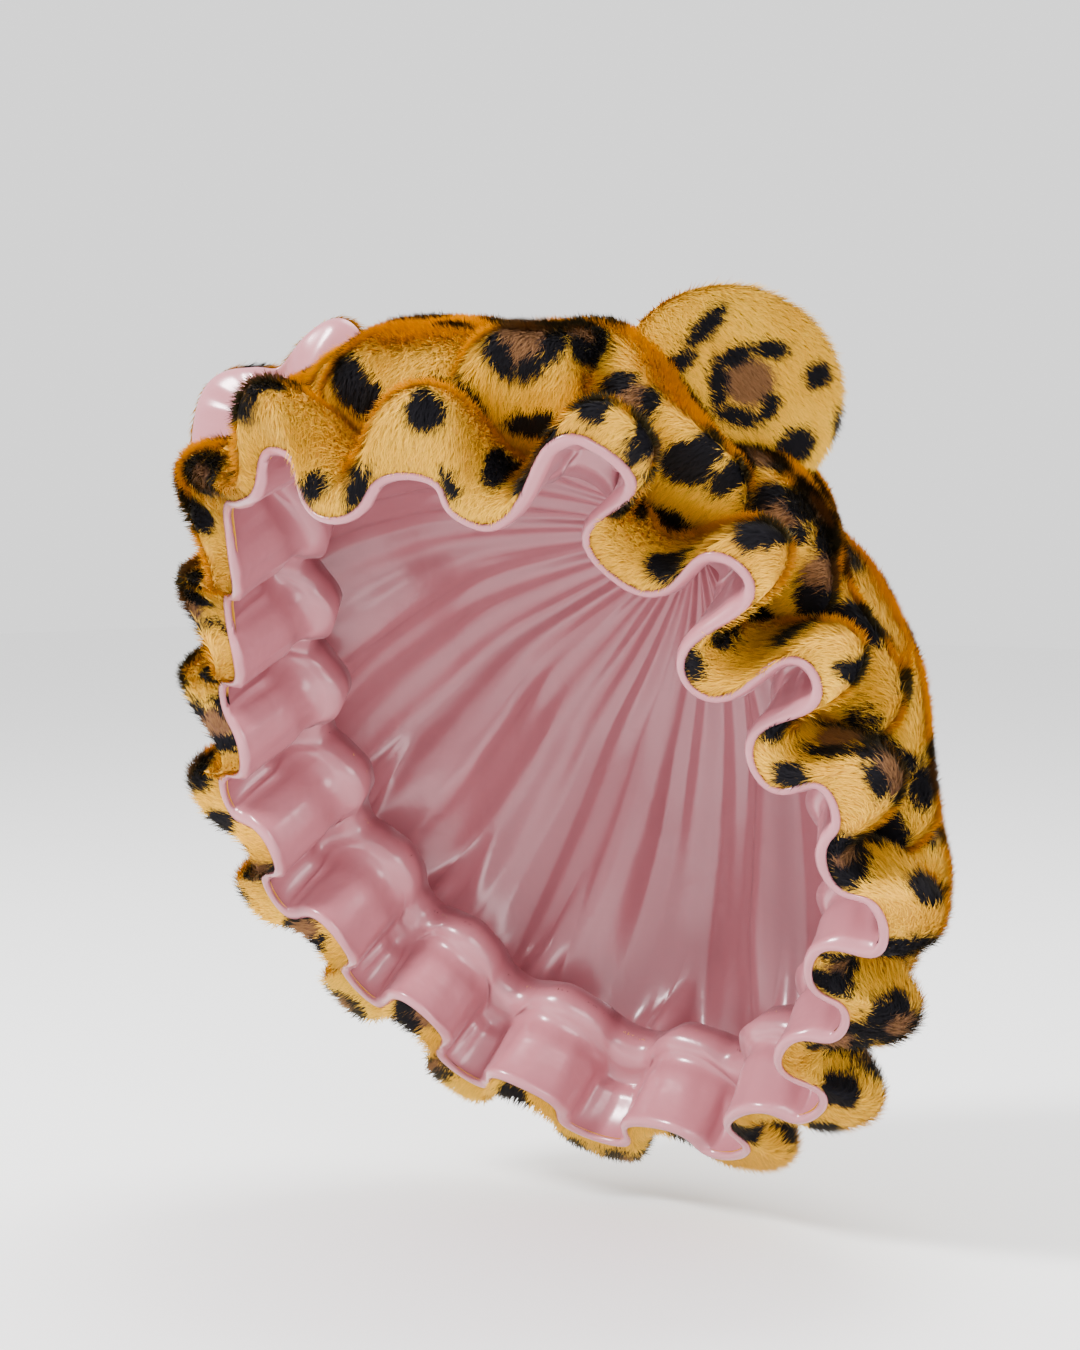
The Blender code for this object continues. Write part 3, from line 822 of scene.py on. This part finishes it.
def satin_material():
    """Dusty pink satin with a sharp sheen and small soft creases."""
    made = bpy.data.materials.new("pink_satin")
    made.use_nodes = True
    tree = made.node_tree
    shader = tree.nodes["Principled BSDF"]
    set_inputs(
        shader,
        {
            "Base Color": (0.46, 0.195, 0.22, 1),
            "Roughness": 0.27,
            "Specular IOR Level": 0.65,
            "Specular Tint": (1.0, 0.88, 0.92, 1),
            "Sheen Weight": 0.15,
            "Sheen Roughness": 0.3,
            "Sheen Tint": (1.0, 0.8, 0.86, 1),
            "Coat Weight": 0.4,
            "Coat Roughness": 0.18,
        },
    )
    coords = node(tree, "ShaderNodeTexCoord")
    crumple = node(tree, "ShaderNodeTexNoise")
    set_inputs(crumple, {"Scale": 45.0, "Detail": 3.0, "Distortion": 0.6})
    tree.links.new(coords.outputs["Object"], crumple.inputs["Vector"])
    bump = node(tree, "ShaderNodeBump")
    set_inputs(bump, {"Strength": 0.35, "Distance": 0.002})
    tree.links.new(crumple.outputs["Fac"], bump.inputs["Height"])
    tree.links.new(bump.outputs["Normal"], shader.inputs["Normal"])
    return made


class PileBed(NamedTuple):
    """The cloth that pile grows on, by point: place, normal, nap, the two print fields, and how long
    the pile is there as a share; and the triangles that have pile.
    """

    places: np.ndarray
    normals: np.ndarray
    naps: np.ndarray
    dark: np.ndarray
    taupe: np.ndarray
    stand: np.ndarray
    faces: np.ndarray


def pile(name, bed, blades, seed, length, material):
    """Leaning blades of pile over part of a cloth: one thin triangle each, lying along the nap."""
    rng = np.random.default_rng(seed)
    faces = bed.faces
    first, second, third = (bed.places[faces[:, k]] for k in range(3))
    area = np.linalg.norm(np.cross(second - first, third - first), axis=1)
    chosen = np.searchsorted(np.cumsum(area) / area.sum(), rng.random(blades))
    chosen = np.minimum(chosen, len(faces) - 1)
    a, b = rng.random(blades), rng.random(blades)
    flip = a + b > 1
    a[flip], b[flip] = 1 - a[flip], 1 - b[flip]
    weights = np.stack([1 - a - b, a, b], axis=1)

    def spread(values):
        """The values of the cloth at each blade's root."""
        return np.einsum("bk,bk...->b...", weights, values[faces[chosen]])

    root, normal, nap = spread(bed.places), unit(spread(bed.normals)), unit(spread(bed.naps))
    dark, taupe = spread(bed.dark), spread(bed.taupe)
    nap = unit(nap - normal * np.sum(nap * normal, axis=1, keepdims=True))
    across = np.cross(normal, nap)
    stray = rng.normal(0, NAP_STRAY, (blades, 1))
    lean = np.radians(rng.normal(BLADE_LEAN, LEAN_SPREAD, (blades, 1)))
    level = unit(nap + across * stray)
    way = normal * np.cos(lean) + level * np.sin(lean)
    long = length * rng.uniform(0.65, 1.15, (blades, 1)) * spread(bed.stand)[:, None]
    side = unit(np.cross(normal, way)) * BLADE_HALF_WIDTH
    tip = root + way * long
    points = np.stack([root + side, root - side, tip], axis=1)
    # Painted shade: each blade is darker at its root and lighter at its tip, plus a random tone of its own
    tone_and_root_shade = np.stack([np.zeros(blades), np.zeros(blades), np.ones(blades)], axis=1) * 0.5
    tone_and_root_shade += 0.12 + rng.uniform(-0.12, 0.30, blades)[:, None] * np.array([0.6, 0.6, 1.0])
    # Blades are lit mostly like the cloth under them
    soft = unit(normal * 0.75 + way * 0.25)
    jitter = rng.normal(0, PRINT_FRAY, blades)
    return mesh_object(
        name,
        points,
        np.arange(blades * 3).reshape(-1, 3),
        material,
        attributes=(
            ("dark", np.repeat(dark + jitter, 3)),
            ("taupe", np.repeat(taupe + jitter, 3)),
            ("tone_and_root_shade", tone_and_root_shade),
        ),
        normals=np.repeat(soft[:, None], 3, axis=1),
    )


def grid_triangles(rows, columns):
    """The grid's quads, each cut into two triangles."""
    quads = grid_faces(rows, columns)
    return np.concatenate([quads[:, [0, 1, 2]], quads[:, [0, 2, 3]]])


def nap_field(sheet):
    """The nap's direction on the worn cloth: one straight direction on the flat cut."""
    along = np.roll(sheet.places, -1, axis=1) - np.roll(sheet.places, 1, axis=1)
    flat_along = np.roll(sheet.flat, -1, axis=1) - np.roll(sheet.flat, 1, axis=1)
    down = np.gradient(sheet.places, axis=0)
    flat_down = np.gradient(sheet.flat, axis=0)
    direction = np.array([0.35, 0.94])
    det = flat_along[..., 0] * flat_down[..., 1] - flat_along[..., 1] * flat_down[..., 0]
    det = np.where(np.abs(det) < 1e-12, 1e-12, det)
    a = (direction[0] * flat_down[..., 1] - direction[1] * flat_down[..., 0]) / det
    b = (flat_along[..., 0] * direction[1] - flat_along[..., 1] * direction[0]) / det
    return unit(along * a[..., None] + down * b[..., None])


def ear_axes(ear):
    """The ear's middle, its sideways, upward and face directions."""
    turn, tip = math.radians(ear.face_turn), math.radians(ear.tip_back)
    sideways = np.array([math.cos(turn), math.sin(turn), 0])
    level = np.array([math.sin(turn), -math.cos(turn), 0])
    face = level * math.cos(tip) + np.array([0, 0, math.sin(tip)])
    return np.array([ear.x, ear.y, ear.z]) * MM, sideways, np.cross(face, sideways), face


def ear_disc(ear, pad, front, satin):
    """One face of an ear as a grid round its middle: places, normals and flat places."""
    middle, sideways, upward, face = ear_axes(ear)
    outside = face if front else -face
    turn = 2 * np.pi * np.arange(EAR_COLUMNS) / EAR_COLUMNS
    share = np.linspace(0.0, 1.0, EAR_ROWS)[:, None] ** 0.8
    around = np.array(ear.outline * 3, float) * MM
    radius = spline(around, 12 + turn / (2 * np.pi) * 12)
    x = radius * share * np.sin(turn)
    y = radius * share * np.cos(turn)
    share = share * np.ones_like(turn)
    height = pad * np.sqrt(np.clip(1 - share**2.6, 0, 1))
    if satin:
        dent = ear.crease * MM * np.exp(-((x / EAR_CREASE_WIDTH) ** 2)) * (1 - share**4)
        rng = np.random.default_rng(7)
        waves = (np.sin(turn * count + rng.uniform(0, 6.28)) for count in EAR_WRINKLE_WAVES)
        wrinkle = sum(wave * np.clip(share, 0, 1) ** 2 for wave in waves)
        height = height - dent + EAR_WRINKLE * wrinkle * (1 - share**6)
    places = middle + sideways * x[..., None] + upward * y[..., None] + outside * height[..., None]
    normals = grid_normals(places)
    if np.sum(normals * outside, axis=-1).mean() < 0:
        normals = -normals
    return places, normals, np.stack([x, y], axis=-1)


sheet = outside_sheet()
rows, columns = sheet.places.shape[:2]
dark, taupe = print_fields(sheet)
leopard_print = leopard_print_group()
shell_material = plush_material("leopard_plush", False, leopard_print)
pile_material = plush_material("leopard_pile", True, leopard_print)
satin = satin_material()

# Directions at the ruffle's free edge: ahead out of the ruffle and square to its face
phase = np.arange(columns) / COLUMNS_PER_FOLD
edge, gather = edge_point(phase), gather_point(phase)
ahead = unit(edge - gather)
across = np.roll(edge, -1, axis=0) - np.roll(edge, 1, axis=0)
square = unit(np.cross(across, ahead))
square *= np.sign(np.sum(square * sheet.normals[3]))

# The plush turns over its free edge onto its own back
hem = [edge - square * (PLUSH_BACKING * k / 2) - ahead * (k * HEM_BACK) for k in (2, 1)]
# and closes in one point at the crown's middle
crown_middle = np.broadcast_to(sheet.places[-1].mean(axis=0), (1, columns, 3))
plush_places = np.concatenate([np.array(hem), sheet.places, crown_middle])
held_rows = [0, 0, *range(rows), -1]
plush_dark = dark.reshape(rows, columns)[held_rows]
plush_taupe = taupe.reshape(rows, columns)[held_rows]
plush = mesh_object(
    "plush_outside",
    plush_places,
    grid_faces(len(plush_places), columns),
    shell_material,
    attributes=(("dark", plush_dark), ("taupe", plush_taupe)),
)

# The satin follows the plush's back, wrinkles inwards, and its rim shows in front of the plush
depth = sheet.cloth / MM
near_ruffle = np.exp(-(((depth - WRINKLE_DEPTH) / WRINKLE_SPREAD) ** 2))
wrinkle = ripple(phase, 21, (4, 6, 9))[None] * near_ruffle * WRINKLE_HEIGHT
sway = ripple(phase, 22, (1, 2))[None] * np.clip(depth / SWAY_DEPTH, 0, 1) * SWAY_HEIGHT
elastic = ELASTIC_DRAW * np.exp(-(((depth - CROWN[0].cloth) / ELASTIC_SPREAD) ** 2))
loose = np.clip(SATIN_EASE + wrinkle + sway, 0, MOST_WRINKLE)
inset = (PLUSH_BACKING / MM + SATIN_GAP + elastic + loose) * MM
inner = sheet.places - sheet.normals * inset[..., None]
# In the ruffle it spans straighter than the plush, which is a stuffed roll there
shares = np.linspace(0, 1, RUFFLE_ROWS)[:, None, None]
span = edge + (gather - edge) * shares
slack = (sheet.places[:RUFFLE_ROWS] - span) * RUFFLE_SLACK
straight = span + slack - square * inset[:RUFFLE_ROWS, :, None]
blend = smooth_step(np.clip((shares - RUFFLE_BLEND_START) / (1 - RUFFLE_BLEND_START), 0, 1))
inner[:RUFFLE_ROWS] = straight * (1 - blend) + inner[:RUFFLE_ROWS] * blend
# Where it is drawn up at the elastic, its smallest creases are relaxed
ease = np.exp(-(((depth - CROWN[0].cloth) / RELAX_SPREAD) ** 2))[..., None]
for _ in range(RELAX_PASSES):
    relaxed = (np.roll(inner, 1, axis=1) + np.roll(inner, -1, axis=1)) / 4 + inner / 2
    inner = inner + (relaxed - inner) * ease


def rim_row(behind, forward):
    """A row of the satin rim: this far behind the plush face and this far past its edge, in mm."""
    return sheet.places[0] - square * (behind * MM) + ahead * (forward * MM)


rim = np.array([rim_row(*row) for row in RIM])
lining_middle = np.broadcast_to(inner[-1].mean(axis=0), (1, columns, 3))
lining_places = np.concatenate([rim, inner[1:], lining_middle])
lining = mesh_object("satin_inside", lining_places, grid_faces(len(lining_places), columns), satin)

# The pile is shorter where the elastic draws the cloth in and at the ruffle's edge
short_at_elastic = 0.55 * np.exp(-(((depth - CROWN[0].cloth) / 6) ** 2))
short_at_edge = 0.5 * np.exp(-((sheet.cloth / (4 * MM)) ** 2))
stand = 1 - short_at_elastic - short_at_edge
triangles = grid_triangles(rows, columns)
in_ruffle = triangles.min(axis=1) // columns < RUFFLE_ROWS - 1


def cap_pile(name, seed, faces):
    """The pile of one part of the cap."""
    bed = PileBed(
        places=sheet.places.reshape(-1, 3),
        normals=sheet.normals.reshape(-1, 3),
        naps=nap_field(sheet).reshape(-1, 3),
        dark=dark,
        taupe=taupe,
        stand=stand.ravel(),
        faces=faces,
    )
    return pile(name, bed, CAP_BLADES, seed, CAP_PILE_LENGTH, pile_material)


piles = [
    cap_pile("ruffle_pile", 31, triangles[in_ruffle]),
    cap_pile("crown_pile_a", 32, triangles[~in_ruffle]),
    cap_pile("crown_pile_b", 33, triangles[~in_ruffle]),
    cap_pile("crown_pile_c", 34, triangles[~in_ruffle]),
]
for piece in piles:
    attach(piece, "root")
for piece, slot in ((plush, "leopard_plush"), (lining, "pink_satin")):
    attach(piece, "root")
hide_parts("plush_shell")
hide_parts("satin_lining")

for ear in EARS:
    faces = grid_faces(EAR_ROWS, EAR_COLUMNS)
    places, normals, flat = ear_disc(ear, EAR_PLUSH_PAD, ear.plush_in_front, False)
    ear_dark, ear_taupe = ear_fields(flat)
    fur = mesh_object(
        f"ear_{ear.name}_fur",
        places,
        faces,
        shell_material,
        attributes=(("dark", ear_dark), ("taupe", ear_taupe)),
    )
    _, sideways, upward, _ = ear_axes(ear)
    bed = PileBed(
        places=places.reshape(-1, 3),
        normals=normals.reshape(-1, 3),
        naps=np.broadcast_to(sideways * 0.5 - upward * 0.85, places.shape).reshape(-1, 3),
        dark=ear_dark,
        taupe=ear_taupe,
        stand=np.ones(EAR_ROWS * EAR_COLUMNS),
        faces=grid_triangles(EAR_ROWS, EAR_COLUMNS),
    )
    ear_pile = pile(f"ear_{ear.name}_pile", bed, EAR_BLADES, 40, EAR_PILE_LENGTH, pile_material)
    back_places, _, _ = ear_disc(ear, EAR_SATIN_PAD, not ear.plush_in_front, True)
    back = mesh_object(f"ear_{ear.name}_back", back_places, faces, satin)
    for piece, slot in ((fur, "leopard_plush"), (ear_pile, "leopard_plush"), (back, "pink_satin")):
        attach(piece, "root")
    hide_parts(f"ear_{ear.name}_plush")
    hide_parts(f"ear_{ear.name}_satin")

# Floor, light and camera
bpy.ops.object.select_all(action="DESELECT")
bpy.ops.mesh.primitive_plane_add(size=FLOOR_SIZE, location=(0, 0, FLOOR_HEIGHT))
floor = bpy.context.object
floor.name = "floor"
bpy.ops.object.transform_apply(location=True, rotation=True, scale=True)
floor_material = bpy.data.materials.new("pale_floor")
floor_material.use_nodes = True
floor_shader = floor_material.node_tree.nodes["Principled BSDF"]
set_inputs(floor_shader, {"Base Color": (0.95, 0.95, 0.95, 1), "Roughness": 0.9})
floor.data.materials.append(floor_material)

world = bpy.data.worlds.new("studio")
world.use_nodes = True
set_inputs(world.node_tree.nodes["Background"], {"Color": (1, 1, 1, 1), "Strength": 1.05})
bpy.context.scene.world = world


LIGHT_AIM = Vector((0, 0, -0.12))


def area_light(name, place, size, power):
    """A soft box that faces the bonnet."""
    data = bpy.data.lights.new(name, "AREA")
    data.energy = power
    data.size = size
    made = bpy.data.objects.new(name, data)
    made.location = place
    facing = LIGHT_AIM - Vector(place)
    made.rotation_euler = facing.to_track_quat("-Z", "Y").to_euler()
    bpy.context.scene.collection.objects.link(made)


area_light("key", (-0.55, -1.15, 0.95), 0.35, 28)
area_light("fill", (1.25, -0.75, 0.25), 0.7, 7)
area_light("top", (0.1, 0.3, 1.3), 0.8, 12)

VIEW_TURN, VIEW_RISE, VIEW_DISTANCE = 38, 3, 0.85
MM_PER_PIXEL, PICTURE_WIDTH, SENSOR = 0.30, 1080, 36.0
turn, rise = math.radians(VIEW_TURN), math.radians(VIEW_RISE)
level = math.cos(rise)
towards = Vector((math.sin(turn) * level, -math.cos(turn) * level, math.sin(rise)))
right = Vector((math.cos(turn), math.sin(turn), 0))
aim = Vector((0.0066, -0.0133, -0.1055))
camera_data = bpy.data.cameras.new("camera")
camera_data.sensor_fit = "HORIZONTAL"
camera_data.sensor_width = SENSOR
camera_data.lens = SENSOR * VIEW_DISTANCE / (MM_PER_PIXEL * MM * PICTURE_WIDTH)
camera = bpy.data.objects.new("camera", camera_data)
bpy.context.scene.collection.objects.link(camera)
camera.matrix_world = Matrix.Translation(aim + towards * VIEW_DISTANCE) @ Matrix(
    (right, towards.cross(right), towards)
).transposed().to_4x4()
bpy.context.scene.camera = camera
bpy.context.scene.view_settings.view_transform = "AgX"
bpy.context.scene.view_settings.look = "AgX - Medium High Contrast"
